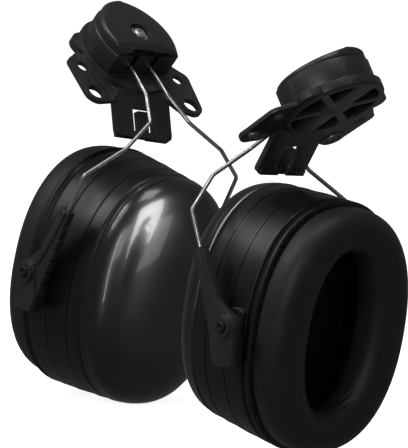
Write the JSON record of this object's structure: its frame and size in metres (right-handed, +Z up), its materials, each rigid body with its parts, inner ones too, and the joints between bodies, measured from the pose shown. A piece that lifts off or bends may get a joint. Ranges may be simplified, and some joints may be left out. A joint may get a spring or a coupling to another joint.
{
  "type": "helmet-mounted earmuff hearing protector",
  "caption": "Helmet-mounted earmuff pair: domed ear cups with soft cushions on sprung wire arms that swivel on slot-fit adapter plates.",
  "frame": {"origin": "on the helmet side of the first unit's tongue, on its centre line, near the tongue's root", "axes": "+X along the ear axis, out of the first unit's dome and towards the second unit; +Y front to rear; +Z up"},
  "size_m": [0.2589, 0.1731, 0.1745],
  "materials": {
    "matte_black_plastic": "fine-textured",
    "satin_black_plastic": "satin",
    "gloss_black_plastic": "polished",
    "bright_steel": "bright drawn wire and machined steel",
    "insert_brass": "machined",
    "seal_rubber": "matte",
    "black_vinyl": "soft matte vinyl",
    "cushion_foam": "open-cell foam",
    "liner_foam": "open-cell foam"
  },
  "bodies": {
    "left_adapter": {"left_adapter_plate": "matte_black_plastic", "left_threaded_insert": "insert_brass", "left_pivot_screw": "bright_steel", "left_screw_washer": "bright_steel"},
    "left_latch": {"left_tongue_latch": "matte_black_plastic"},
    "left_swivel": {"left_swivel_housing": "matte_black_plastic", "left_swivel_cap": "matte_black_plastic", "left_arm_spindle": "bright_steel", "left_tension_spring": "bright_steel"},
    "left_arm": {"left_wire_yoke": "bright_steel", "left_wire_carrier": "matte_black_plastic"},
    "left_sleeves": {"left_front_sleeve": "matte_black_plastic", "left_rear_sleeve": "matte_black_plastic"},
    "left_cup": {"left_cup_shell": "satin_black_plastic", "left_front_pivot_stud": "satin_black_plastic", "left_rear_pivot_stud": "satin_black_plastic", "left_cup_dome": "gloss_black_plastic", "left_cup_seal": "seal_rubber", "left_cushion_plate": "satin_black_plastic", "left_cushion_cover": "black_vinyl", "left_cushion_foam": "cushion_foam", "left_acoustic_liner": "liner_foam"},
    "right_adapter": {"right_adapter_plate": "matte_black_plastic", "right_threaded_insert": "insert_brass", "right_pivot_screw": "bright_steel", "right_screw_washer": "bright_steel"},
    "right_latch": {"right_tongue_latch": "matte_black_plastic"},
    "right_swivel": {"right_swivel_housing": "matte_black_plastic", "right_swivel_cap": "matte_black_plastic", "right_arm_spindle": "bright_steel", "right_tension_spring": "bright_steel"},
    "right_arm": {"right_wire_yoke": "bright_steel", "right_wire_carrier": "matte_black_plastic"},
    "right_sleeves": {"right_front_sleeve": "matte_black_plastic", "right_rear_sleeve": "matte_black_plastic"},
    "right_cup": {"right_cup_shell": "satin_black_plastic", "right_front_pivot_stud": "satin_black_plastic", "right_rear_pivot_stud": "satin_black_plastic", "right_cup_dome": "gloss_black_plastic", "right_cup_seal": "seal_rubber", "right_cushion_plate": "satin_black_plastic", "right_cushion_cover": "black_vinyl", "right_cushion_foam": "cushion_foam", "right_acoustic_liner": "liner_foam"}
  },
  "joints": [
    {"name": "left_latch_flex", "type": "hinge", "parent": "left_adapter", "child": "left_latch", "pos_m": [0.00571, -0.00219, -0.01107], "axis": [-0.1476, -0.982, 0.1182], "range_deg": [0, 8], "stiffness_Nm_per_rad": 0.2},
    {"name": "left_swivel_turn", "type": "hinge", "parent": "left_adapter", "child": "left_swivel", "pos_m": [-0.01617, 0.00458, 0.01787], "axis": [0.6252, 0, 0.7804], "range_deg": [-75, 75]},
    {"name": "left_arm_swing", "type": "hinge", "parent": "left_swivel", "child": "left_arm", "pos_m": [-0.00729, 0.00436, 0.02177], "axis": [-0.0395, -0.9987, 0.0316], "range_deg": [0, 35], "stiffness_Nm_per_rad": 0.6, "springref_deg": -28.65},
    {"name": "left_sleeve_slide", "type": "slide", "parent": "left_arm", "child": "left_sleeves", "axis": [-0.4438, -0.0108, -0.8961], "range_m": [-0.004, 0.014]},
    {"name": "left_cup_tilt", "type": "hinge", "parent": "left_sleeves", "child": "left_cup", "pos_m": [-0.014, 0.00159, -0.07403], "axis": [0.0395, 0.9987, -0.0316], "range_deg": [-8, 12]},
    {"name": "right_latch_flex", "type": "hinge", "parent": "right_adapter", "child": "right_latch", "pos_m": [0.16473, -0.07685, -0.00587], "axis": [-0.0785, 0.9954, -0.055], "range_deg": [0, 8], "stiffness_Nm_per_rad": 0.2},
    {"name": "right_swivel_turn", "type": "hinge", "parent": "right_adapter", "child": "right_swivel", "pos_m": [0.18883, -0.07342, 0.02187], "axis": [-0.5736, 0, 0.8192], "range_deg": [-75, 75]},
    {"name": "right_arm_swing", "type": "hinge", "parent": "right_swivel", "child": "right_arm", "pos_m": [0.18021, -0.07333, 0.02634], "axis": [0.0157, 0.9998, 0.011], "range_deg": [0, 35], "stiffness_Nm_per_rad": 0.6, "springref_deg": -28.65},
    {"name": "right_sleeve_slide", "type": "slide", "parent": "right_arm", "child": "right_sleeves", "axis": [0.3849, 0.0041, -0.923], "range_m": [-0.004, 0.014]},
    {"name": "right_cup_tilt", "type": "hinge", "parent": "right_sleeves", "child": "right_cup", "pos_m": [0.18014, -0.07229, -0.06844], "axis": [-0.0157, -0.9998, -0.011], "range_deg": [-8, 12]},
    {"name": "units_apart", "type": "slide", "parent": "left_adapter", "child": "right_adapter", "axis": [1, 0, 0], "range_m": [0, 0.06]}
  ]
}
